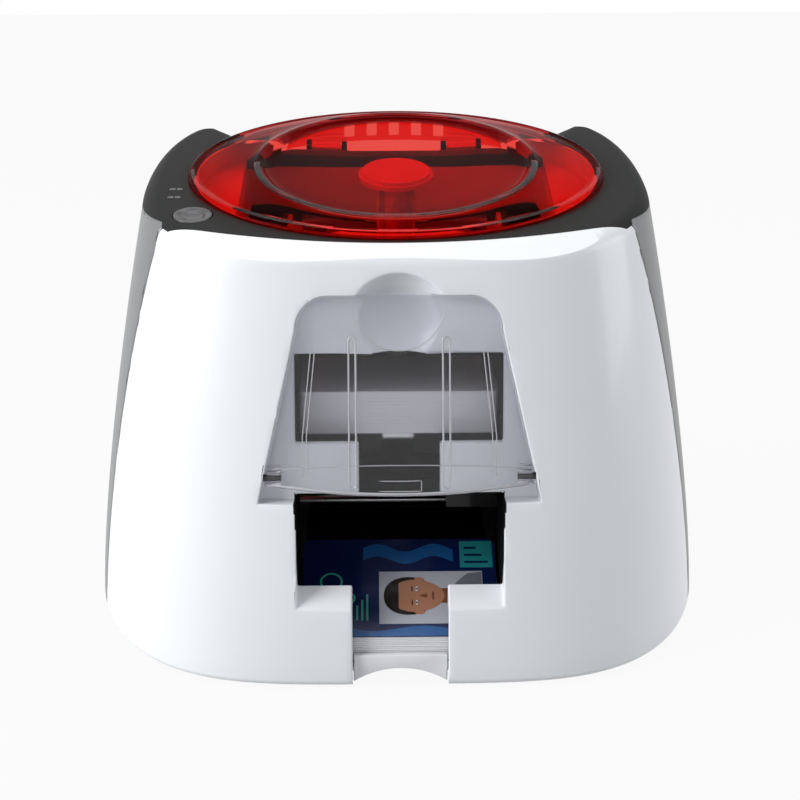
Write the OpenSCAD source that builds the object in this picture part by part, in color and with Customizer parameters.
// Desktop ID card printer: a wide rounded housing whose front and sides lean in,
// a feeder behind a smoked flap, an output hopper below it, and a hinged
// translucent cover over the ribbon bay. The front faces -Y and +Z is up.
// The origin is on the table, under the middle of the housing.

/* [Housing] */
// Width of the housing at the table
body_w = 286; // [276:1:296]
// Depth of the housing at the table
body_d = 237; // [231:1:243]
// Width of the housing at the height of the shoulder
top_w = 230; // [225:1:238]
// How far the front leans back up to the shoulder
front_rake = 34; // [31:0.5:37]
// How far the rear leans forward up to the shoulder
rear_rake = 31; // [26:1:36]
// Thickness of the walls of the shells
wall = 2.5; // [2:0.1:3]
// Width of the shadow gap between the front and the rear shell
seam_gap = 0.6; // [0.3:0.1:1]
// Thickness of the base plate
base_t = 3; // [2:0.5:4]
// Height of the rubber feet below the base plate
foot_h = 1.5; // [1:0.25:3]
// Radius of the rubber feet
foot_r = 9; // [7:0.5:11]

/* [Top] */
// Height of the top plane over the middle of the housing
top_z = 202; // [199:0.5:206]
// Tilt of the top plane, down to the front
top_tilt = 11.5; // [10:0.5:12.5]
// Height of the bezel at the sides
bezel_h = 9; // [8:0.5:11]
// Thickness of the bezel's plate
bezel_t = 2.8; // [2.6:0.1:3.2]
// Rounding of the bezel's outer edge
bezel_round = 6; // [5:0.5:8]
// Slope of the strip along the front shell's upper edge, against the top plane
crest_slope = 21; // [18:1:25]
// Slope of the deck behind the cover
deck_slope = 30; // [26:1:34]

/* [Cover] */
// Width of the bezel's plate on each side of the cover
bezel_side = 20.5; // [19:0.5:23]
// Distance from the front shell's upper edge to the cover's rim
cover_front = 2.6; // [2:0.1:4]
// Distance from the cover's rim to the housing's rear
cover_rear = 16.8; // [15:0.1:19]
// Thickness of the cover
cover_t = 2; // [1.6:0.1:2.4]
// Distance from the cover's rim to the crest of its raised ring, in front
ring_inset = 12.5; // [11:0.5:16]
// Height of the ring above the top plane
ring_rise = 7.5; // [6.5:0.5:9]
// Number of vent slots at the rear of the cover
vent_count = 5; // [3:1:6]
// Distance from one vent slot to the next
vent_pitch = 10.9; // [9:0.1:12]
// Radius of the cover's hinge pins
hinge_pin_r = 1.5; // [1.2:0.1:1.8]

/* [Feeder flap] */
// Width of the flap at its hinge
flap_w = 114.6; // [111:0.2:117]
// Width of the flap below its upper corners
flap_top_w = 85; // [80:0.5:90]
// Height of the flap's lower edge
flap_z = 87; // [85:0.5:89]
// Height of the flap from its lower to its upper edge
flap_h = 78.5; // [76:0.5:81]
// Thickness of the flap
flap_t = 2; // [1.6:0.1:2.4]
// How far the flap's lower edge stands out in the middle
flap_proud = 8.7; // [6:0.1:10]
// Radius of the flap's pins
flap_pin_r = 1.5; // [1.2:0.1:1.8]

/* [Cards] */
// Width of a card
card_w = 85.6; // [84:0.1:86.5]
// Depth of a card
card_d = 53.98; // [52:0.01:54.5]
// Thickness of a card
card_t = 0.76; // [0.5:0.01:0.84]
// Number of blank cards in the feeder
blank_count = 25; // [10:1:30]
// Number of printed cards under the top one in the hopper
printed_count = 12; // [4:1:14]

/* [Feeder and hopper] */
// Height of the feeder's floor, where the cards lie
floor_z = 101.5; // [100:0.5:103]
// Height of the feeder's mouth
mouth_h = 38; // [34:1:40]
// Width of the feeder's mouth and of the hopper
mouth_w = 88; // [87:0.2:89]
// Depth from the housing's front at the hopper to the cards in the feeder
card_setback = 31; // [29:0.5:33]
// Height of the hopper's sill
sill_z = 42; // [39:0.5:44]
// Width of the notch for the thumb
notch_w = 41; // [36:0.5:44]
// Width of the notch in the feeder's floor
feeder_notch_w = 34.4; // [30:0.2:38]
// Slope of the output tray
tray_slope = 28; // [24:1:30]
// Height of the lip of the output tray
lip_z = 14.3; // [12:0.1:16]

/* [Drive] */
// Radius of the pick roller
pick_r = 9; // [8.4:0.1:9.4]
// Radius of the entry and exit rollers
roller_r = 6; // [5.5:0.1:6.4]
// Radius of the platen roller
platen_r = 7; // [6.5:0.1:7.4]
// Radius of the roller shafts
shaft_r = 3; // [2.5:0.1:3.5]
// Half the distance between the side frames
frame_x = 58; // [57:0.5:60]
// Thickness of the side frames
frame_t = 1.6; // [1.2:0.1:2]
// Width of the gears
gear_w = 6; // [4:0.5:8]
// Side of the square motor
motor_w = 42; // [39:1:43]
// Length of the motor
motor_l = 34; // [28:1:40]

/* [Ribbon] */
// Radius of the full supply roll
supply_r = 17; // [14:0.5:18]
// Radius of the film on the take-up spool
take_up_r = 10; // [9:0.5:13]
// Width of the ribbon
ribbon_w = 91; // [86:0.5:94]

/* [Hidden] */
$fn = 48;

// Points round each level of the housing
ring_n = 64;
// Height of the shoulder, where top_w and the rakes are measured
form_h = 190;
// Larger than the housing in every direction
big = 400;
// Clearance between a pin or shaft and its bore, on the radius
run_gap = 0.05;
// Clearance between bodies that pass each other
gap = 0.3;

// Half width, front half depth and rear half depth of the housing at height z
function share(z, bend) = pow(max(z, 0) / form_h, bend);
function half_w(z) = body_w / 2 - (body_w - top_w) / 2 * share(z, 1.38);
function half_f(z) = body_d / 2 - front_rake * share(z, 1.22);
function half_r(z) = body_d / 2 - rear_rake * share(z, 2.6);
// Powers of the outline: the front gets rounder going up, the rear gets boxier
function x_power(z, front) = front ? 4.2 - 0.7 * z / form_h : 4 + 2.6 * z / form_h;
function y_power(z, front) = front ? 1.6 + 0.8 * z / form_h : 2;
function side_of(v) = v < 0 ? -1 : 1;
function form_pt(t, z, inset) = let (front = sin(t) < 0) [
    (half_w(z) - inset) * side_of(cos(t)) * pow(abs(cos(t)), 2 / x_power(z, front)),
    ((front ? half_f(z) : half_r(z)) - inset) * side_of(sin(t)) * pow(abs(sin(t)), 2 / y_power(z, front))];
// Depth of the outer face at a place across the front or the rear
function front_y(x, z) =
    -half_f(z) * pow(1 - pow(abs(x) / half_w(z), x_power(z, true)), 1 / y_power(z, true));
function rear_y(x, z) = half_r(z) * sqrt(1 - pow(abs(x) / half_w(z), x_power(z, false)));

// Levels of the form: rounded foot, walls that take on the tilt of the top, rounded shoulder
foot_round = 3;
foot_steps = 2;
wall_steps = 9;
shoulder_steps = 6;
level_count = foot_steps + wall_steps + shoulder_steps;
function shoulder_turn(k) = 90 * (k - foot_steps - wall_steps) / shoulder_steps;
// Height over the middle, slope and inset of a level of the outer form
function outer_level(k) =
    k < foot_steps ? [foot_h + foot_round * (1 - cos(90 * k / foot_steps)), 0,
        foot_round * (1 - sin(90 * k / foot_steps))] :
    k <= foot_steps + wall_steps ? let (f = (k - foot_steps) / wall_steps)
        [(foot_h + foot_round) * (1 - f) + (top_z - bezel_round / cos(top_tilt)) * f, f * tan(top_tilt), 0] :
    [top_z - bezel_round * (1 - sin(shoulder_turn(k))) / cos(top_tilt), tan(top_tilt),
        bezel_round * (1 - cos(shoulder_turn(k)))];
// The same for the inside of the walls
function inner_level(k) =
    k < foot_steps ? [foot_h - 1 + k, 0, wall + foot_round * (1 - k / (2 * foot_steps))] :
    k <= foot_steps + wall_steps ? let (p = outer_level(k)) [p[0], p[1], wall] :
    [top_z - (bezel_round - (bezel_round - wall) * sin(shoulder_turn(k))) / cos(top_tilt), tan(top_tilt),
        bezel_round - (bezel_round - wall) * cos(shoulder_turn(k))];
function level_z(t, level, z, tries) = tries == 0 ? z :
    level_z(t, level, level[0] + level[1] * form_pt(t, z, level[2])[1], tries - 1);
function level_ring(level) = [for (i = [0:ring_n - 1])
    let (t = 360 * (i + 0.5) / ring_n, z = level_z(t, level, level[0], 6), p = form_pt(t, z, level[2]))
    [p[0], p[1], z]];

// A solid through rings of points that all have the same number
function skin_sides(n, m) = [for (j = [0:m - 2]) for (i = [0:n - 1]) for (half = [0, 1])
    let (a = j * n + i, b = j * n + (i + 1) % n)
    half == 0 ? [a, a + n, b + n] : [a, b + n, b]];
module skin(rings) {
    n = len(rings[0]);
    m = len(rings);
    lower = [[for (i = [0:n - 1]) i]];
    upper = [[for (i = [0:n - 1]) m * n - 1 - i]];
    polyhedron([for (ring = rings) for (p = ring) p], concat(lower, skin_sides(n, m), upper));
}
// The same for thin rings, whose ends are closed by a strip of fields
module strip_skin(rings) {
    n = len(rings[0]);
    m = len(rings);
    lower = [for (i = [0:n / 2 - 2]) [i, i + 1, n - 2 - i, n - 1 - i]];
    upper = [for (f = lower) [for (k = [3:-1:0]) f[k] + (m - 1) * n]];
    polyhedron([for (ring = rings) for (p = ring) p], concat(lower, skin_sides(n, m), upper));
}

// The housing's outer form, and the space inside its walls
module form() skin([for (k = [0:level_count]) level_ring(outer_level(k))]);
module hollow() skin([for (k = [0:level_count]) level_ring(inner_level(k))]);

// The tilted frame of the top: its XY plane is the top plane
module on_top() {
    translate([0, 0, top_z]) rotate([top_tilt, 0, 0]) children();
}
function top_world_y(v, w) = v * cos(top_tilt) - w * sin(top_tilt);
function top_world_z(v, w) = top_z + v * sin(top_tilt) + w * cos(top_tilt);
function plane_z(y, w) = top_z + w / cos(top_tilt) + y * tan(top_tilt);
function oval_ring(a, b, v, w) = [for (i = [0:ring_n - 1])
    let (t = 360 * (i + 0.5) / ring_n) [a * cos(t), v + b * sin(t), w]];

// Everything below the top plane shifted by w
module below_top(w) {
    on_top() translate([-big, -big, -2 * big + w]) cube([2 * big, 2 * big, 2 * big]);
}

// The front shell's upper edge is an arc on the top plane, above a bevelled strip
edge_back = 6;
edge_v = -(half_f(form_h) - edge_back) / cos(top_tilt);
edge_round = 263;
edge_flat = 0.8;
edge_gap = 0.2;
module below_crest(inset) {
    on_top() translate([0, edge_v + edge_round, -big - inset])
        cylinder(r1 = edge_round + big / tan(crest_slope), r2 = edge_round, h = big, $fn = 360);
}
module behind_edge(shift, low) {
    on_top() translate([0, edge_v + edge_round, low])
        cylinder(r = edge_round - edge_flat - shift, h = 40, $fn = 360);
}

// The front shell lies before this plane, which leans back to the front going up
seam_set = 82.5;
seam_y = seam_set - body_d / 2;
seam_lean = 5.7;
module front_zone(shift) {
    translate([0, seam_y + shift, 0]) rotate([seam_lean, 0, 0])
        translate([-big, -big, -big]) cube([2 * big, big, 2 * big]);
}

// The deck falls to the rear from a ridge between the bezel's ends
ridge_back = 31.5;
ridge_y = half_r(form_h) - ridge_back;
ridge_z = plane_z(ridge_y, -bezel_h);
function deck_z(y) = ridge_z - (y - ridge_y) * tan(deck_slope);
module below_deck(inset) {
    translate([0, ridge_y, ridge_z]) rotate([-deck_slope, 0, 0])
        translate([-big, -big, -2 * big - inset]) cube([2 * big, 2 * big, 2 * big]);
}

// Recess behind the flap, in a frame that leans back with the front
flap_gap = 0.8;
recess_foot = 8;
recess_z = flap_z - recess_foot;
recess_h = flap_h + recess_foot + flap_gap;
recess_depth = 11.5;
recess_top_depth = 5;
recess_y = recess_depth - half_f(recess_z);
recess_top_y = recess_top_depth - half_f(recess_z + recess_h);
recess_lean = atan((recess_top_y - recess_y) / recess_h);
corner_h = 13.5;
flap_corner = 13;
function flap_half(z) = z < flap_z + flap_h - corner_h ?
    flap_w / 2 - (flap_w - flap_top_w) / 2 * (z - flap_z) / (flap_h - corner_h) :
    flap_top_w / 2 - flap_corner
        + flap_corner * sqrt(max(0, 1 - pow((z - flap_z - flap_h + corner_h) / corner_h, 2)));
recess_steps = 8;
function recess_side(grow) = concat(
    [[flap_half(recess_z) + flap_gap + grow, recess_z - grow]],
    [for (k = [0:recess_steps]) let (z = flap_z + flap_h - corner_h * (1 - sin(90 * k / recess_steps)))
        [flap_half(z) + flap_gap + grow, z + (flap_gap + grow) * k / recess_steps]]);
function mirrored(half) = concat(half,
    [for (k = [len(half) - 1:-1:0]) [-half[k][0], half[k][1]]]);

// A solid behind an outline in X and Z, from the rear face at y to the far front
module front_prism(y, lean, z0) {
    translate([0, y, z0]) rotate([-lean, 0, 0]) rotate([90, 0, 0])
        linear_extrude(height = big / 4) translate([0, -z0]) children();
}
module recess_prism(grow, deeper) {
    front_prism(recess_y + deeper, recess_lean, recess_z) polygon(mirrored(recess_side(grow)));
}

// Finger scoop above the flap, a part of a ball
scoop_r = 26;
scoop_z = flap_z + flap_h - 8.5;
scoop_y = -half_f(scoop_z) - 14;

// Openings behind the flap and below it
mouth_z = floor_z + 1.5;
hopper_top = recess_z + 2;
hopper_deep = 10;
sill_fall = 6;
sill_y = hopper_deep - half_f(sill_z);
throat_z = sill_z - sill_fall - wall;

module mouth_cut() {
    translate([-mouth_w / 2, recess_y - 1, mouth_z]) cube([mouth_w, 14, mouth_h]);
    translate([-feeder_notch_w / 2, recess_y - 1, hopper_top - 1])
        cube([feeder_notch_w, 14, mouth_z - hopper_top + 2]);
}
module hopper_cut() {
    // straight throat
    translate([-mouth_w / 2, -big / 2, sill_z])
        cube([mouth_w, big / 2 + sill_y + 12, hopper_top - sill_z]);
    // sill that falls to the front
    rotate([90, 0, 90]) translate([0, 0, -mouth_w / 2]) linear_extrude(height = mouth_w)
        polygon([[sill_y, sill_z + 0.5], [sill_y, sill_z], [sill_y - hopper_deep, sill_z - sill_fall],
            [sill_y - 3 * hopper_deep, sill_z - 3 * sill_fall], [sill_y - 3 * hopper_deep, sill_z + 0.5]]);
    // thumb notch down to the table
    translate([-notch_w / 2, -big / 2, -1]) cube([notch_w, big / 2 + sill_y + 12, sill_z + 2]);
}

// Screw places: two in each side of the rear shell, two in the front shell
boss_r = 6.5;
boss_h = 20;
screw_r = 1.5;
side_boss_x = half_w(0) - wall - boss_r + 0.4;
boss_room = 7;
boss_x = mouth_w / 2 + wall + boss_r + boss_room;
front_boss = [boss_x, front_y(boss_x, 0) + wall + boss_r - 0.4];
rear_boss = [boss_x, rear_y(boss_x, 0) - wall - boss_r + 0.4];
function screw_places() = [[side_boss_x, 8], [-side_boss_x, 8],
    front_boss, [-front_boss[0], front_boss[1]], rear_boss, [-rear_boss[0], rear_boss[1]]];
base_top = foot_h + base_t;
module bosses(first, last) {
    for (k = [first:last]) translate([screw_places()[k][0], screw_places()[k][1], base_top])
        cylinder(r = boss_r, h = boss_h);
}
module boss_holes(first, last) {
    for (k = [first:last]) translate([screw_places()[k][0], screw_places()[k][1], base_top - 1])
        cylinder(r = screw_r, h = boss_h - 3);
}

flap_axis_in = 6;
flap_axis_up = 3.2;
flap_axis_y = -half_f(flap_z) + flap_axis_in;
flap_axis_z = flap_z + flap_axis_up;
flap_pin_l = 7.5;
flap_pin_in = flap_w / 2 - flap_pin_l;
flap_pin_out = flap_w / 2 + flap_gap + 2;
// Room for the flap's lower corners when it swings
function swing_r() = norm([flap_edge_y(flap_z) + flap_t - flap_axis_y, flap_axis_up]) + gap;

module front_shell() {
    color("white") difference() {
        intersection() {
            form();
            front_zone(-seam_gap / 2);
            below_crest(0);
        }
        behind_edge(0, -bezel_t - 0.05);
        difference() {
            intersection() {
                hollow();
                below_crest(wall);
            }
            recess_prism(wall, wall);
            translate([0, scoop_y, scoop_z]) sphere(r = scoop_r + wall);
            translate([-mouth_w / 2 - wall, -big / 2, throat_z])
                cube([mouth_w + 2 * wall, big / 2 + sill_y, hopper_top + wall - throat_z]);
            bosses(2, 3);
        }
        recess_prism(0, 0);
        translate([0, scoop_y, scoop_z]) sphere(r = scoop_r);
        mouth_cut();
        hopper_cut();
        boss_holes(2, 3);
        for (s = [-1, 1]) translate([s * flap_pin_in, flap_axis_y, flap_axis_z]) rotate([0, s * 90, 0])
            cylinder(r = flap_pin_r, h = flap_pin_out - flap_pin_in);
        translate([-flap_w / 2 - gap, flap_axis_y, flap_axis_z]) rotate([0, 90, 0])
            cylinder(r = swing_r(), h = flap_w + 2 * gap);
    }
}

// Sockets in the rear wall
socket_z = 26;
usb_x = 38;
power_x = 62;
usb_w = 12;
usb_h = 11;
power_r = 4.5;
board_y = half_r(0) - 20;
board_t = 1.6;
usb_l = rear_y(usb_x, socket_z) - 1 - board_y - board_t;
power_l = rear_y(power_x, socket_z) - 1 - board_y - board_t;

// Rows of cooling slots in the rear wall
slot_w = 3;
slot_h = 34;
slot_pitch = 7.5;
slot_count = 11;
slot_z = 84;

// The rear shell's upper edge: along the bezel, and nearly level towards the front corners
corner_rise = 2;
corner_in = 14;
corner_x = top_w / 2 - corner_in;
corner_back = 19;
corner_step = 0.81;
corner_y = seam_y - corner_back;
corner_z = plane_z(corner_y, 0) - corner_step;
module below_bezel() {
    below_top(-bezel_h);
    difference() {
        translate([0, corner_y, corner_z]) rotate([corner_rise, 0, 0])
            translate([-big, -big, -big]) cube([2 * big, 2 * big, big]);
        front_zone(seam_gap / 2);
        translate([-corner_x, -big, 0]) cube([2 * corner_x, 2 * big, big]);
    }
}
module rear_shell() {
    color("silver") difference() {
        intersection() {
            form();
            below_bezel();
            below_deck(0);
        }
        front_zone(seam_gap / 2);
        difference() {
            intersection() {
                hollow();
                below_deck(wall);
            }
            bosses(0, 1);
            bosses(4, 5);
        }
        boss_holes(0, 1);
        boss_holes(4, 5);
        for (k = [0:slot_count - 1])
            translate([(k - (slot_count - 1) / 2) * slot_pitch - slot_w / 2, 60, slot_z])
                cube([slot_w, 80, slot_h]);
        translate([usb_x - usb_w / 2 - gap, 60, socket_z - usb_h / 2 - gap])
            cube([usb_w + 2 * gap, 80, usb_h + 2 * gap]);
        translate([power_x, 60, socket_z]) rotate([-90, 0, 0]) cylinder(r = power_r + gap, h = 80);
        skirt_well();
    }
}

// Opening in the deck under the front of the cover's rear skirt
module skirt_well() {
    translate([-skirt_half - 3, ridge_y - 30, ridge_z - 8])
        cube([2 * skirt_half + 6, 36, 40]);
}

// Control button and status lights, in the tilted frame of the top
button_in = 26.6;
button_back = 31.1;
button_x = button_in - top_w / 2;
button_v = edge_v + button_back;
button_r = 8.5;
button_gap = 0.4;
light_in = 16.6;
light_behind = [29.4, 20.1];
light_x = light_in - top_w / 2;
light_v = [for (d = light_behind) button_v + d];
light_l = 6.4;
light_w = 2;

// The cover lies between the front edge and the rear, with a plate on both sides
cover_low_v = edge_v + cover_front;
cover_high_v = half_r(form_h) / cos(top_tilt) - cover_rear;
cover_v = (cover_low_v + cover_high_v) / 2;
cover_w = top_w - 2 * bezel_side;
cover_l = cover_high_v - cover_low_v;
rim_ledge = 3;
module top_bezel() {
    color("dimgray") difference() {
        intersection() {
            form();
            behind_edge(edge_gap, -39.5);
        }
        below_bezel();
        // the front shell's rim carries the plate
        intersection() {
            front_zone(seam_gap / 2);
            below_top(-bezel_t);
        }
        hollow();
        // opening under the cover
        on_top() translate([0, 0, -bezel_h - 2]) linear_extrude(height = bezel_h + 4)
            polygon([for (p = oval_ring(cover_w / 2 - rim_ledge, cover_l / 2 - rim_ledge, cover_v, 0))
                [p[0], p[1]]]);
        // open at the rear, between the two ends
        translate([-big, ridge_y, 0]) cube([2 * big, big, big]);
        on_top() translate([button_x, button_v, -bezel_h])
            cylinder(r = button_r + button_gap, h = 2 * bezel_h);
        for (v = light_v) on_top() translate([light_x - light_l / 2, v - light_w / 2, -bezel_h])
            cube([light_l, light_w, 2 * bezel_h]);
    }
}

// The button stands in its bore on a switch that hangs under the bezel
module control_button() {
    color("darkgray") on_top() translate([button_x, button_v, 0]) {
        translate([0, 0, -bezel_t - 1.4]) cylinder(r = button_r, h = bezel_t + 1.8);
        translate([0, 0, -bezel_t - 1.4]) cylinder(r = button_r + 1.5, h = 1.2);
    }
}

module status_lights() {
    color("gainsboro") for (v = light_v) on_top() {
        translate([light_x - light_l / 2, v - light_w / 2, -bezel_t]) cube([light_l, light_w, bezel_t + 0.2]);
        translate([light_x - light_l / 2 - 1, v - light_w / 2 - 1, -bezel_t - 2])
            cube([light_l + 2, light_w + 2, 2]);
    }
}

// The cover: rim oval, slope up to the ring, shallow dish inside the ring
cover_a = cover_w / 2;
cover_b = cover_l / 2;
ring_r = cover_b - ring_inset;
ring_shift = 2.6;
ring_v = cover_v - ring_shift;
rim_w = 0.4;
dish_drop = 3;
function blend_ring(k, w) = let (a = cover_a - 2, b = cover_b - 2) [for (i = [0:ring_n - 1])
    let (t = 360 * (i + 0.5) / ring_n) [
        (a + (ring_r + 2 - a) * k) * cos(t),
        cover_v + (ring_v - cover_v) * k + (b + (ring_r + 2 - b) * k) * sin(t), w]];
function round_ring(r, w) = oval_ring(r, r, ring_v, w);
function cover_outside() = [
    oval_ring(cover_a, cover_b, cover_v, rim_w),
    oval_ring(cover_a, cover_b, cover_v, rim_w + 1.8),
    oval_ring(cover_a - 1.2, cover_b - 1.2, cover_v, rim_w + 2.8),
    blend_ring(0.2, rim_w + 2.8 + (ring_rise - 4) * 0.3),
    blend_ring(0.6, rim_w + 2.8 + (ring_rise - 4) * 0.66),
    blend_ring(1, ring_rise - 0.8),
    round_ring(ring_r, ring_rise),
    round_ring(ring_r - 2.5, ring_rise - 0.8),
    round_ring(ring_r - 7, ring_rise - dish_drop),
    round_ring(ring_r / 2, ring_rise - dish_drop - 0.4)];
function cover_inside() = [
    round_ring(ring_r / 2, ring_rise - dish_drop - 0.4 - cover_t),
    round_ring(ring_r - 8, ring_rise - dish_drop - cover_t),
    round_ring(ring_r - 3, ring_rise - 0.9 - cover_t),
    round_ring(ring_r, ring_rise - 0.4 - cover_t),
    blend_ring(0.97, ring_rise - 1 - cover_t),
    blend_ring(0.55, rim_w + 2.8 + (ring_rise - 4) * 0.6 - cover_t),
    blend_ring(0.25, rim_w + 2.6 + (ring_rise - 4) * 0.25 - cover_t),
    oval_ring(cover_a - rim_ledge - 1, cover_b - rim_ledge - 1, cover_v, rim_w)];

// Rear skirt of the cover, behind the bezel's two ends
skirt_half = 52;
skirt_w = -12.5;
vent_w = 4.9;
vent_low = -11;
vent_high = -2.5;
hinge_in = 1.5;
hinge_v = cover_high_v - hinge_in;
hinge_w = -17;
knuckle_r = 3.6;
knuckle_l = 14;
knuckle_x = 33;
skirt_cut_v = cover_v + cover_b * sqrt(1 - pow(skirt_half / cover_a, 2));

module oval_prism(a, b, low, high) {
    // its corners lie between those of the rim
    translate([0, 0, low]) linear_extrude(height = high - low)
        polygon([for (i = [0:ring_n - 1]) let (t = 360 * i / ring_n) [a * cos(t), cover_v + b * sin(t)]]);
}
module cover_skirt() {
    intersection() {
        difference() {
            oval_prism(cover_a - 0.5, cover_b - 0.5, skirt_w, rim_w + 1.2);
            oval_prism(cover_a - 0.5 - cover_t, cover_b - 0.5 - cover_t, skirt_w - 1, rim_w + 2);
        }
        translate([-skirt_half, skirt_cut_v - 8, skirt_w]) cube([2 * skirt_half, 60, 30]);
    }
}
module top_cover() {
    color("red", 0.6) on_top() difference() {
        union() {
            skin(concat(cover_inside(), cover_outside()));
            cover_skirt();
            for (s = [-1, 1]) {
                translate([s * knuckle_x - knuckle_l / 2, hinge_v, hinge_w]) rotate([0, 90, 0])
                    cylinder(r = knuckle_r, h = knuckle_l);
                translate([s * knuckle_x - knuckle_l / 2, hinge_v - 8, hinge_w + 2])
                    cube([knuckle_l, 7.4, skirt_w - hinge_w + 1]);
            }
        }
        for (s = [-1, 1]) translate([s * knuckle_x - knuckle_l, hinge_v, hinge_w]) rotate([0, 90, 0])
            cylinder(r = hinge_pin_r + run_gap, h = 2 * knuckle_l);
        for (k = [0:vent_count - 1])
            translate([(k - (vent_count - 1) / 2) * vent_pitch - vent_w / 2, skirt_cut_v - 8, vent_low])
                cube([vent_w, 40, vent_high - vent_low]);
    }
}

ear_t = 2.5;
ear_r = 3.8;
module hinge_brackets() {
    color("dimgray") difference() {
        for (s = [-1, 1]) for (e = [-1, 1]) on_top()
            translate([s * knuckle_x + e * (knuckle_l / 2 + gap + ear_t / 2) - ear_t / 2, hinge_v, hinge_w])
            rotate([90, 0, 90]) linear_extrude(height = ear_t) union() {
                circle(r = ear_r);
                translate([-ear_r, -18]) square([2 * ear_r, 18]);
            }
        below_deck(0);
        for (s = [-1, 1]) on_top() translate([s * knuckle_x - knuckle_l, hinge_v, hinge_w]) rotate([0, 90, 0])
            cylinder(r = hinge_pin_r, h = 2 * knuckle_l);
    }
}
module hinge_pins() {
    color("silver") for (s = [-1, 1]) on_top()
        translate([s * knuckle_x - knuckle_l / 2 - gap - ear_t, hinge_v, hinge_w]) rotate([0, 90, 0])
        cylinder(r = hinge_pin_r, h = knuckle_l + 2 * gap + 2 * ear_t);
}

// A mushroom post under the cover, which holds the print head down when the cover is shut
presser_r = 17;
presser_stem_r = 8;
presser_top = ring_rise - dish_drop - 0.4 - cover_t;
presser_low = -35;
presser_ribs = 6;
module head_presser() {
    color("firebrick") on_top() translate([0, ring_v, 0]) union() {
        translate([0, 0, presser_top - 3.5]) cylinder(r = presser_r, h = 2);
        translate([0, 0, presser_top - 1.5]) cylinder(r = presser_r - 1.5, h = 1.5);
        translate([0, 0, presser_low]) cylinder(r = presser_stem_r - 1.5, h = presser_top - presser_low - 1);
        for (k = [0:presser_ribs - 1]) rotate([0, 0, 60 * k + 30])
            translate([0, -0.9, presser_low + 3])
            cube([presser_stem_r + 1.5, 1.8, presser_top - presser_low - 4]);
    }
}

// The flap is a hood: flush with the front at its top, standing out in the middle of its lower edge
flap_setback = 5;
flap_cols = 12;
flap_rows = 12;
function flap_rise(z) = (z - flap_z) / flap_h;
function flap_mid_y(z) = -half_f(z) - flap_proud * (1 - flap_rise(z));
function flap_edge_y(z) = -half_f(z) + flap_setback * (1 - flap_rise(z));
function flap_y(u, z) = flap_mid_y(z) + (flap_edge_y(z) - flap_mid_y(z)) * u * u;
function flap_row_z(j) = flap_z + flap_h * (j < 5 ? j * 0.17 :
    0.83 + 0.17 * sin(90 * (j - 5 + 1) / (flap_rows - 4)));
function flap_ring(z) = concat(
    [for (i = [0:flap_cols]) let (u = -1 + 2 * i / flap_cols) [u * flap_half(z), flap_y(u, z), z]],
    [for (i = [0:flap_cols]) let (u = 1 - 2 * i / flap_cols) [u * flap_half(z), flap_y(u, z) + flap_t, z]]);
flap_rib_x = 19.5;
flap_rib_r = 1.6;
flap_rib_low = 4;
flap_rib_high = 62;
module flap_rib(x) {
    za = flap_z + flap_rib_low;
    zb = flap_z + flap_rib_high;
    ya = flap_y(x / flap_half(za), za) + 0.6;
    yb = flap_y(x / flap_half(zb), zb) + 0.6;
    run = sqrt(pow(zb - za, 2) + pow(yb - ya, 2));
    translate([x, ya, za]) rotate([-atan((yb - ya) / (zb - za)), 0, 0]) cylinder(r = flap_rib_r, h = run);
}
flap_ear_w = 5.5;
flap_ear_r = 3.2;
module feeder_flap() {
    color("lightsteelblue", 0.5) difference() {
        union() {
            strip_skin([for (j = [0:flap_rows]) flap_ring(flap_row_z(j))]);
            flap_rib(flap_rib_x);
            flap_rib(-flap_rib_x);
            for (s = [-1, 1]) translate([s * (flap_w / 2 - flap_ear_w / 2 - 1.5) - flap_ear_w / 2, 0, 0]) {
                translate([0, flap_axis_y, flap_axis_z]) rotate([0, 90, 0])
                    cylinder(r = flap_ear_r, h = flap_ear_w);
                translate([0, flap_axis_y - 2.5, flap_axis_z - 1]) cube([flap_ear_w, 4, flap_ear_r + 3]);
            }
        }
        for (s = [-1, 1]) translate([s * (flap_pin_in - 1), flap_axis_y, flap_axis_z]) rotate([0, s * 90, 0])
            cylinder(r = flap_pin_r + run_gap, h = flap_pin_out - flap_pin_in + 2);
    }
}
module flap_pins() {
    color("silver") for (s = [-1, 1]) translate([s * flap_pin_in, flap_axis_y, flap_axis_z])
        rotate([0, s * 90, 0]) cylinder(r = flap_pin_r, h = flap_pin_out - flap_pin_in);
}

module base_outline() {
    polygon([for (p = level_ring([foot_h, 0, wall + gap + foot_round])) [p[0], p[1]]]);
}
lip_y = -half_f(lip_z) + wall + gap;
tray_half = mouth_w / 2 + 1.5;
base_slot = mouth_w / 2 + wall + gap;
foot_places = [[95, -66], [-95, -66], [98, 70], [-98, 70]];
module base_plate() {
    color("dimgray") difference() {
        translate([0, 0, foot_h]) linear_extrude(height = base_t) base_outline();
        translate([-base_slot, -big, 0]) cube([2 * base_slot, big + lip_y + 42, big]);
        for (p = screw_places()) translate([p[0], p[1], 0]) cylinder(r = screw_r + gap, h = 10);
        for (k = [-3:3]) translate([k * 12 - 2, 40, 0]) cube([4, 36, 10]);
    }
}
module rubber_feet() {
    color("black") for (p = foot_places) translate([p[0], p[1], 0]) union() {
        cylinder(r = foot_r, h = foot_h);
    }
}
module case_screws() {
    color("silver") for (p = screw_places()) translate([p[0], p[1], foot_h - 1]) union() {
        cylinder(r = 2 * screw_r, h = 1);
        cylinder(r = screw_r, h = base_t + 12);
    }
}

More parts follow.
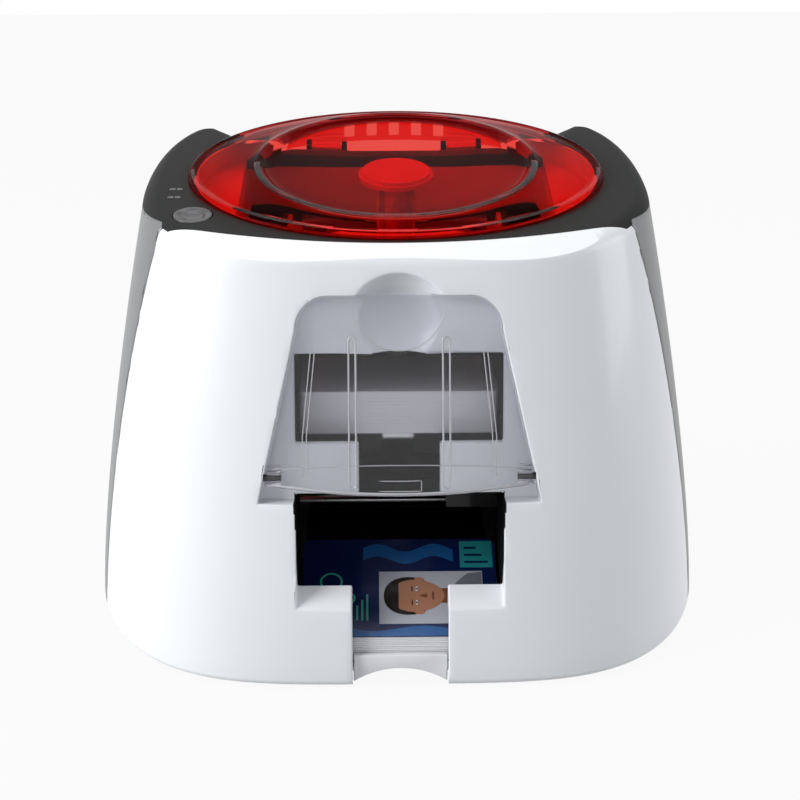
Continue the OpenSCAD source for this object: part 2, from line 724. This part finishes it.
// Feeder: a magazine with a notch in front and a gate at the rear
card_front = -half_f(recess_z) + card_setback;
gate_y = card_front + card_d + 0.6;
gate_t = 2;
gate_gap = 1.1;
magazine_half = mouth_w / 2 - 0.2;
magazine_t = 2;
function behind_recess(z) = recess_y + (z - recess_z) * tan(recess_lean) + wall + 1;
magazine_front = behind_recess(floor_z + mouth_h);
floor_front = behind_recess(floor_z);
pick_y = card_front + card_d / 2;
module feeder_tray() {
    color("gainsboro") difference() {
        union() {
            translate([-frame_x, pick_y - 20, floor_z - 3]) cube([2 * frame_x, 34, 3]);
            translate([-magazine_half - magazine_t, floor_front, floor_z - 3])
                cube([2 * (magazine_half + magazine_t), gate_y + gate_t - floor_front, 3]);
            for (x = [-magazine_half - magazine_t, magazine_half]) translate([x, magazine_front, floor_z - 1])
                cube([magazine_t, gate_y + gate_t - magazine_front, mouth_h]);
            translate([-magazine_half - 1, gate_y, floor_z - 1])
                cube([2 * magazine_half + 2, gate_t, mouth_h - 6]);
        }
        translate([-feeder_notch_w / 2, floor_front - 1, 0])
            cube([feeder_notch_w, card_front - floor_front + 15, floor_z + 1]);
        translate([-magazine_half, gate_y - 1, floor_z]) cube([2 * magazine_half, gate_t + 2, gate_gap]);
        translate([-24, pick_y - pick_r - 1, 0]) cube([48, 2 * pick_r + 2, floor_z + 1]);
    }
}
module card_at(y, z, lean, count, step_y) {
    for (k = [0:count - 1]) translate([0, y + k * step_y, z]) rotate([lean, 0, 0])
        translate([-card_w / 2, 0, k * card_t]) cube([card_w, card_d, card_t]);
}
module blank_cards() {
    color("white") translate([-card_w / 2, card_front, floor_z]) cube([card_w, card_d, card_t * blank_count]);
}

// Output tray: a sloping floor between two sides, with an arched lip in front
tray_t = 2.5;
lip_t = 2.5;
tray_low = 6.5;
tray_len = 60;
stack_y = lip_y + lip_t + gap + card_t * sin(tray_slope);
arch_r = 36;
arch_z = lip_z - 6.3;
module output_tray() {
    color("white") difference() {
        union() {
            // lip
            translate([-notch_w / 2 + gap, lip_y, foot_h]) cube([notch_w - 2 * gap, lip_t, lip_z - foot_h]);
            // sloping floor
            translate([0, lip_y + lip_t - 1, tray_low]) rotate([tray_slope, 0, 0])
                translate([-tray_half, 0, 0]) cube([2 * tray_half, tray_len, tray_t]);
            // sides
            for (s = [-1, 1]) rotate([90, 0, 90]) translate([0, 0, s * (tray_half - 0.6) - 0.6])
                linear_extrude(height = 1.2) polygon([[lip_y + lip_t, tray_low],
                    [lip_y + lip_t + tray_len * cos(tray_slope), tray_low + tray_len * sin(tray_slope)],
                    [lip_y + lip_t + tray_len * cos(tray_slope), hopper_top - 6],
                    [sill_y + 2, hopper_top - 6], [sill_y + 2, sill_z - 8], [lip_y + lip_t, lip_z]]);
            // legs to the base plate
            for (s = [-1, 1]) translate([s * (tray_half - 3) - 3, lip_y + 46, base_top])
                cube([6, 6, tray_low + 46 * tan(tray_slope) - base_top - 1]);
        }
        // arch under the lip
        translate([0, lip_y - 20, arch_z - arch_r]) rotate([-90, 0, 0])
            cylinder(r = arch_r, h = 24, $fn = 96);
        translate([-big, -big, -big]) cube([2 * big, 2 * big, big + foot_h]);
    }
}
tray_top = tray_low + tray_t / cos(tray_slope) + 1.2;
module one_printed(k) {
    translate([0, stack_y, tray_top + k * card_t / cos(tray_slope)]) rotate([tray_slope, 0, 0])
        translate([-card_w / 2, 0, 0]) cube([card_w, card_d, card_t]);
}
module printed_cards() {
    color("white") for (k = [0:printed_count - 1]) one_printed(k);
}
module artwork_card() {
    color("steelblue") one_printed(printed_count);
}

// Shafts: the card path runs along the feeder's floor
under_gap = 0.15;
entry_step = 8.4;
platen_step = 28;
exit_step = 36;
entry_y = gate_y + gate_t + entry_step;
platen_y = entry_y + platen_step;
exit_y = platen_y + exit_step;
pick_z = floor_z - pick_r - gap;
entry_z = floor_z - roller_r - under_gap;
platen_z = floor_z - platen_r - under_gap;
cleaning_r = 5.5;
pinch_r = 5;
over_gap = 0.15;
cleaning_z = floor_z + card_t + cleaning_r + over_gap;
pinch_z = floor_z + card_t + pinch_r + over_gap;
upper_shaft_r = 2.5;
roller_w = 88;

// Gears, all of one size of tooth
tooth = 1;
backlash = 0.28;
pressure = 20;
gear_x = frame_x + frame_t + 0.6;
pick_teeth = 20;
entry_teeth = 20;
platen_teeth = 20;
exit_teeth = 20;
idler_a_teeth = 20;
idler_b_teeth = 14;
idler_c_teeth = 18;
drive_teeth = 20;
pinion_teeth = 12;
function pitch_r(teeth) = tooth * teeth / 2;
// Centre of a gear that meshes with two others, below the line between them
function between(p, q, rp, rq) = let (d = norm(q - p), a = (rp * rp - rq * rq + d * d) / (2 * d),
    h = sqrt(max(0, rp * rp - a * a)), e = (q - p) / d) p + e * a + [e[1], -e[0]] * h;
pick_c = [pick_y, pick_z];
entry_c = [entry_y, entry_z];
platen_c = [platen_y, platen_z];
exit_c = [exit_y, entry_z];
idler_a_c = between(pick_c, entry_c,
    pitch_r(pick_teeth + idler_a_teeth), pitch_r(entry_teeth + idler_a_teeth));
idler_b_c = between(entry_c, platen_c,
    pitch_r(entry_teeth + idler_b_teeth), pitch_r(platen_teeth + idler_b_teeth));
idler_c_c = between(platen_c, exit_c,
    pitch_r(platen_teeth + idler_c_teeth), pitch_r(exit_teeth + idler_c_teeth));
drive_shift = 2.5;
drive_c = platen_c + [drive_shift, -sqrt(pow(pitch_r(platen_teeth + drive_teeth), 2) - pow(drive_shift, 2))];
motor_c = drive_c + [0, -pitch_r(drive_teeth + pinion_teeth)];

// Turn of a gear so that its gap meets the tooth of the gear before it
function heading(p, q) = atan2(q[1] - p[1], q[0] - p[0]);
function meshed(teeth_a, turn_a, p, q, teeth_b) =
    heading(p, q) + 180 - (teeth_a * (turn_a - heading(p, q)) - 180) / teeth_b;
platen_turn = 0;
idler_b_turn = meshed(platen_teeth, platen_turn, platen_c, idler_b_c, idler_b_teeth);
entry_turn = meshed(idler_b_teeth, idler_b_turn, idler_b_c, entry_c, entry_teeth);
idler_a_turn = meshed(entry_teeth, entry_turn, entry_c, idler_a_c, idler_a_teeth);
pick_turn = meshed(idler_a_teeth, idler_a_turn, idler_a_c, pick_c, pick_teeth);
idler_c_turn = meshed(platen_teeth, platen_turn, platen_c, idler_c_c, idler_c_teeth);
exit_turn = meshed(idler_c_teeth, idler_c_turn, idler_c_c, exit_c, exit_teeth);
drive_turn = meshed(platen_teeth, platen_turn, platen_c, drive_c, drive_teeth);
pinion_turn = meshed(drive_teeth, drive_turn, drive_c, motor_c, pinion_teeth);

// Involute tooth: half the angle of a tooth at radius r
function roll(r, base) = r <= base ? 0 : sqrt(pow(r / base, 2) - 1) * 180 / PI - acos(base / r);
function half_tooth(teeth, r) = let (p = pitch_r(teeth), base = p * cos(pressure))
    90 / teeth - backlash / (2 * p) * 180 / PI + roll(p, base) - roll(r, base);
function polar(r, t) = [r * cos(t), r * sin(t)];
function gear_outline(teeth, turn) = let (p = pitch_r(teeth), root = p - 1.15 * tooth, tip = p + 0.85 * tooth,
    low = max(root + 0.05, p * cos(pressure)))
    [for (k = [0:teeth - 1]) let (t = turn + 360 * k / teeth)
        for (q = [[root, -half_tooth(teeth, low)], [low, -half_tooth(teeth, low)], [p, -half_tooth(teeth, p)],
                [tip, -half_tooth(teeth, tip)], [tip, half_tooth(teeth, tip)], [p, half_tooth(teeth, p)],
                [low, half_tooth(teeth, low)], [root, half_tooth(teeth, low)]])
            polar(q[0], t + q[1])];
module along_x(x, c) {
    translate([x, c[0], c[1]]) rotate([90, 0, 90]) children();
}
module gear(teeth, turn, c, bore) {
    along_x(gear_x, c) difference() {
        linear_extrude(height = gear_w) polygon(gear_outline(teeth, turn));
        translate([0, 0, -1]) cylinder(r = bore, h = gear_w + 2);
    }
}
module driven_shaft(c) {
    color("silver") along_x(-frame_x - frame_t - 2, c)
        cylinder(r = shaft_r, h = 2 * frame_x + frame_t + 2 + frame_t + 0.6 + gear_w + 1);
}
module sleeve(c, r, half) {
    along_x(-half, c) difference() {
        cylinder(r = r, h = 2 * half);
        translate([0, 0, -1]) cylinder(r = shaft_r, h = 2 * half + 2);
    }
}

module pick_roller() {
    color("black") for (s = [-1, 1]) along_x(s * 14 - 7, pick_c) difference() {
        cylinder(r = pick_r, h = 14);
        translate([0, 0, -1]) cylinder(r = shaft_r, h = 16);
    }
}
module pick_shaft() driven_shaft(pick_c);
module pick_gear() color("ivory") gear(pick_teeth, pick_turn, pick_c, shaft_r);
module entry_roller() color("black") sleeve(entry_c, roller_r, roller_w / 2);
module entry_shaft() driven_shaft(entry_c);
module entry_gear() color("ivory") gear(entry_teeth, entry_turn, entry_c, shaft_r);
module platen_roller() color("black") sleeve(platen_c, platen_r, roller_w / 2 + 2);
module platen_shaft() driven_shaft(platen_c);
module platen_gear() color("ivory") gear(platen_teeth, platen_turn, platen_c, shaft_r);
module exit_roller() color("black") sleeve(exit_c, roller_r, roller_w / 2);
module exit_shaft() driven_shaft(exit_c);
module exit_gear() color("ivory") gear(exit_teeth, exit_turn, exit_c, shaft_r);

stud_r = 2;
module idler_a() color("ivory") gear(idler_a_teeth, idler_a_turn, idler_a_c, stud_r + run_gap);
module idler_b() color("ivory") gear(idler_b_teeth, idler_b_turn, idler_b_c, stud_r + run_gap);
module idler_c() color("ivory") gear(idler_c_teeth, idler_c_turn, idler_c_c, stud_r + run_gap);
module drive_gear() color("ivory") gear(drive_teeth, drive_turn, drive_c, stud_r + run_gap);
module idler_studs() {
    color("silver") for (c = [idler_a_c, idler_b_c, idler_c_c, drive_c]) {
        along_x(frame_x, c) cylinder(r = stud_r, h = frame_t + 0.6 + gear_w + gap + 1);
        along_x(gear_x + gear_w + gap, c) cylinder(r = stud_r + 1.2, h = 1);
    }
}
motor_shaft_r = 2.5;
module motor_pinion() {
    color("silver") {
        gear(pinion_teeth, pinion_turn, motor_c, motor_shaft_r);
        along_x(frame_x - motor_l + 2, motor_c)
            cylinder(r = motor_shaft_r, h = motor_l - 2 + frame_t + 0.6 + gear_w + 1);
    }
}
motor_hub_r = 11;
module drive_motor() {
    color("gray") difference() {
        union() {
            translate([frame_x - motor_l, motor_c[0] - motor_w / 2, motor_c[1] - motor_w / 2])
                cube([motor_l, motor_w, motor_w]);
            along_x(frame_x, motor_c) cylinder(r = motor_hub_r, h = frame_t);
        }
        along_x(frame_x - motor_l + 2 - gap, motor_c) cylinder(r = motor_shaft_r + run_gap, h = motor_l + 10);
        for (a = [-1, 1]) for (b = [-1, 1])
            along_x(frame_x - 6, motor_c + [a, b] * (motor_w / 2 - 5.5)) cylinder(r = 1.5, h = 10);
    }
}

module upper_roller(c, r, half) {
    along_x(-half, c) difference() {
        cylinder(r = r, h = 2 * half);
        translate([0, 0, -1]) cylinder(r = upper_shaft_r, h = 2 * half + 2);
    }
}
module upper_shaft(c) {
    along_x(-frame_x - frame_t - 0.2, c) cylinder(r = upper_shaft_r, h = 2 * (frame_x + frame_t + 0.2));
}
cleaning_c = [entry_y, cleaning_z];
pinch_c = [exit_y, pinch_z];
module cleaning_roller() color("steelblue") upper_roller(cleaning_c, cleaning_r, roller_w / 2);
module cleaning_shaft() color("silver") upper_shaft(cleaning_c);
module pinch_roller() color("darkgray") upper_roller(pinch_c, pinch_r, roller_w / 2);
module pinch_shaft() color("silver") upper_shaft(pinch_c);

// Side frames on the base plate
frame_end = 22;
frame_rise = 51;
supply_back = 23;
supply_rise = 61.5;
take_up_step = 34;
take_up_rise = 58.5;
frame_front = pick_y - frame_end;
frame_rear = exit_y + frame_end;
frame_top = floor_z + frame_rise;
supply_c = [entry_y - supply_back, floor_z + supply_rise];
take_up_c = [platen_y + take_up_step, floor_z + take_up_rise];
peg_r = 2.5;
peg_z = frame_top - 4;
pegs_y = [supply_c[0] + 10, take_up_c[0] - 6];
carriage_y = platen_y;
carriage_rise = 28;
carriage_z = floor_z + carriage_rise;
head_travel = 4;
foot_flange = 11;
module side_frame(s) {
    color("lightgray") difference() {
        union() {
            translate([s > 0 ? frame_x : -frame_x - frame_t, frame_front, base_top])
                cube([frame_t, frame_rear - frame_front, frame_top - base_top]);
            translate([s > 0 ? frame_x : -frame_x - foot_flange, frame_front + 4, base_top])
                cube([foot_flange, frame_rear - frame_front - 8, frame_t]);
        }
        for (c = [pick_c, entry_c, platen_c, exit_c])
            along_x(-big / 2, c) cylinder(r = shaft_r + run_gap, h = big);
        for (c = [cleaning_c, pinch_c])
            along_x(-big / 2, c) cylinder(r = upper_shaft_r + run_gap, h = big);
        for (y = pegs_y)
            translate([-big / 2, y - peg_r - 0.1, peg_z - peg_r]) cube([big, 2 * peg_r + 0.2, 20]);
        translate([-big / 2, carriage_y - 2.6, carriage_z - 2.6]) cube([big, 5.2, 5.2 + head_travel]);
        for (y = [frame_front + 14, frame_rear - 36])
            translate([-big / 2, y, base_top + 14]) cube([big, 20, 30]);
        if (s > 0) {
            for (c = [idler_a_c, idler_b_c, idler_c_c, drive_c]) along_x(0, c) cylinder(r = stud_r, h = big);
            along_x(0, motor_c) cylinder(r = motor_hub_r, h = big);
        }
    }
}
module left_frame() side_frame(-1);
module right_frame() side_frame(1);
tie_r = 3;
tie_in = 6;
tie_z = [60, 14];
module tie_bars() {
    color("silver") for (z = tie_z)
        along_x(-frame_x, [frame_rear - tie_in, z]) cylinder(r = tie_r, h = 2 * frame_x);
}
chute_rear = [entry_y - roller_r - 2, floor_z - 9];
chute_front = [card_front + 21, floor_z - 29];
module exit_chute() {
    color("dimgray") along_x(-frame_x, [0, 0]) linear_extrude(height = 2 * frame_x)
        polygon([chute_front, chute_rear, chute_rear + [0, -1.6], chute_front + [0, -1.6]]);
}

// Ribbon cassette: two side plates that straddle the print head
cassette_x = 53;
cassette_t = 2.6;
journal_r = 4;
guide_r = 2.5;
guide_rise = 4;
guide_out = 14;
guide_z = floor_z + guide_rise;
guides_y = [platen_y - guide_out, platen_y + guide_out];
leg_half = 4;
bridge_rise = 44;
bridge_h = 12;
bridge_low = floor_z + bridge_rise;
bridge_high = bridge_low + bridge_h;
plate_r = 11;
module cassette_side() {
    difference() {
        union() {
            translate(supply_c) circle(r = plate_r);
            translate(take_up_c) circle(r = plate_r);
            translate([supply_c[0], bridge_low])
                square([take_up_c[0] - supply_c[0], bridge_high - bridge_low]);
            for (y = guides_y)
                translate([y - leg_half, floor_z + 1.4]) square([2 * leg_half, bridge_low - floor_z]);
        }
        translate(supply_c) circle(r = journal_r + run_gap);
        translate(take_up_c) circle(r = journal_r + run_gap);
    }
}
module cassette_frame() {
    color("black") union() {
        for (s = [-1, 1]) translate([s > 0 ? cassette_x : -cassette_x - cassette_t, 0, 0])
            rotate([90, 0, 90]) linear_extrude(height = cassette_t) cassette_side();
        for (y = guides_y) along_x(-cassette_x, [y, guide_z]) cylinder(r = guide_r, h = 2 * cassette_x);
        for (s = [-1, 1]) for (y = pegs_y)
            translate([s > 0 ? cassette_x + cassette_t : -frame_x - frame_t, y, peg_z]) rotate([0, 90, 0])
            cylinder(r = peg_r, h = frame_x + frame_t - cassette_x - cassette_t);
    }
}
spool_x = cassette_x - gap;
core_r = 7;
flange_r = 10.5;
module spool(c) {
    along_x(0, c) difference() {
        union() {
            translate([0, 0, -spool_x]) cylinder(r = core_r, h = 2 * spool_x);
            for (s = [-1, 1]) translate([0, 0, s * (spool_x - 1) - 1]) cylinder(r = flange_r, h = 2);
            translate([0, 0, -cassette_x - cassette_t])
                cylinder(r = journal_r, h = 2 * (cassette_x + cassette_t));
        }
        translate([0, 0, -big / 2]) cylinder(r = 2, h = big);
    }
}
module film_roll(c, r) {
    along_x(-ribbon_w / 2, c) difference() {
        cylinder(r = r, h = ribbon_w);
        translate([0, 0, -1]) cylinder(r = core_r, h = ribbon_w + 2);
    }
}
module supply_spool() color("ivory") spool(supply_c);
module supply_ribbon() color("purple") film_roll(supply_c, supply_r);
module take_up_spool() color("ivory") spool(take_up_c);
module wound_ribbon() color("purple") film_roll(take_up_c, take_up_r);

// Film from the supply roll under both guides to the take-up spool
film_t = 0.12;
film_off = 0.3;
film_z = guide_z - guide_r - film_off - film_t;
film_a = supply_c + (supply_r + 0.4) * [cos(15), -sin(15)];
film_b = take_up_c + (take_up_r + 0.4) * [-cos(10), -sin(10)];
module ribbon_film() {
    out = guide_r + film_off;
    color("purple") along_x(-ribbon_w / 2, [0, 0]) linear_extrude(height = ribbon_w) polygon([
        film_a, [guides_y[0] - out, guide_z], [guides_y[0] - out * 0.7, guide_z - out * 0.7],
        [guides_y[0], guide_z - out], [guides_y[1], guide_z - out],
        [guides_y[1] + out * 0.7, guide_z - out * 0.7], [guides_y[1] + out, guide_z], film_b,
        film_b + [film_t, 0], [guides_y[1] + out + film_t, guide_z],
        [guides_y[1] + out * 0.7 + film_t, guide_z - out * 0.7 - film_t], [guides_y[1], film_z],
        [guides_y[0], film_z], [guides_y[0] - out * 0.7 - film_t, guide_z - out * 0.7 - film_t],
        [guides_y[0] - out - film_t, guide_z], film_a - [film_t, 0]]);
}

// Print head on a carriage that rises in slots of the side frames
head_half = 48;
head_low = floor_z + 1.6;
beam_low = carriage_z - 6;
module print_head() {
    color("silver") union() {
        translate([-head_half, platen_y - 7, head_low + 3])
            cube([2 * head_half, 15, beam_low - head_low - 3]);
        translate([-head_half, platen_y - 3, head_low]) cube([2 * head_half, 6, 3]);
    }
}
presser_tip_y = top_world_y(ring_v, presser_low);
presser_tip_z = top_world_z(ring_v, presser_low) - presser_stem_r * sin(top_tilt);
module head_carriage() {
    color("dimgray") union() {
        translate([-head_half - 3, platen_y - 8, beam_low]) cube([2 * head_half + 6, 16, 8]);
        for (s = [-1, 1]) translate([s > 0 ? head_half : -frame_x - frame_t - 1, carriage_y, carriage_z])
            rotate([0, 90, 0]) cylinder(r = 2.5, h = frame_x + frame_t + 1 - head_half);
        translate([-11, platen_y - 8, beam_low]) cube([22, 3, presser_tip_z - gap - beam_low]);
        translate([-11, presser_tip_y - 9, presser_tip_z - gap - 3])
            cube([22, platen_y - 5 - presser_tip_y + 9, 3]);
    }
}

board_w = 130;
board_h = 64;
module main_board() {
    color("darkgreen") union() {
        translate([-board_w / 2 + 15, board_y, base_top]) cube([board_w, board_t, board_h]);
        translate([-30, board_y - 2, base_top + 30]) cube([18, 2, 18]);
        translate([6, board_y - 2, base_top + 34]) cube([12, 2, 12]);
        for (k = [0:2]) translate([-44, board_y, base_top + 14 + k * 16]) rotate([90, 0, 0])
            cylinder(r = 4, h = 11);
    }
}
module usb_socket() {
    color("silver") difference() {
        translate([usb_x - usb_w / 2, board_y + board_t, socket_z - usb_h / 2])
            cube([usb_w, usb_l, usb_h]);
        translate([usb_x - usb_w / 2 + 1.2, board_y + board_t + 6, socket_z - usb_h / 2 + 1.2])
            cube([usb_w - 2.4, 40, usb_h - 2.4]);
    }
    color("white") translate([usb_x - 2.8, board_y + board_t + 5.9, socket_z - 1.6])
        cube([5.6, usb_l - 8, 3.2]);
}
module power_socket() {
    color("black") translate([power_x, board_y + board_t, socket_z]) rotate([-90, 0, 0]) union() {
        difference() {
            cylinder(r = power_r, h = power_l);
            translate([0, 0, 5]) cylinder(r = power_r - 1.4, h = 40);
        }
        cylinder(r = 1, h = power_l - 3);
    }
}

front_shell();
rear_shell();
top_bezel();
base_plate();
rubber_feet();
case_screws();
top_cover();
head_presser();
hinge_brackets();
hinge_pins();
feeder_flap();
flap_pins();
control_button();
status_lights();
feeder_tray();
blank_cards();
output_tray();
printed_cards();
artwork_card();
exit_chute();
left_frame();
right_frame();
tie_bars();
pick_roller();
pick_shaft();
pick_gear();
entry_roller();
entry_shaft();
entry_gear();
platen_roller();
platen_shaft();
platen_gear();
exit_roller();
exit_shaft();
exit_gear();
idler_a();
idler_b();
idler_c();
idler_studs();
drive_gear();
motor_pinion();
drive_motor();
cleaning_roller();
cleaning_shaft();
pinch_roller();
pinch_shaft();
cassette_frame();
supply_spool();
supply_ribbon();
take_up_spool();
wound_ribbon();
ribbon_film();
print_head();
head_carriage();
main_board();
usb_socket();
power_socket();
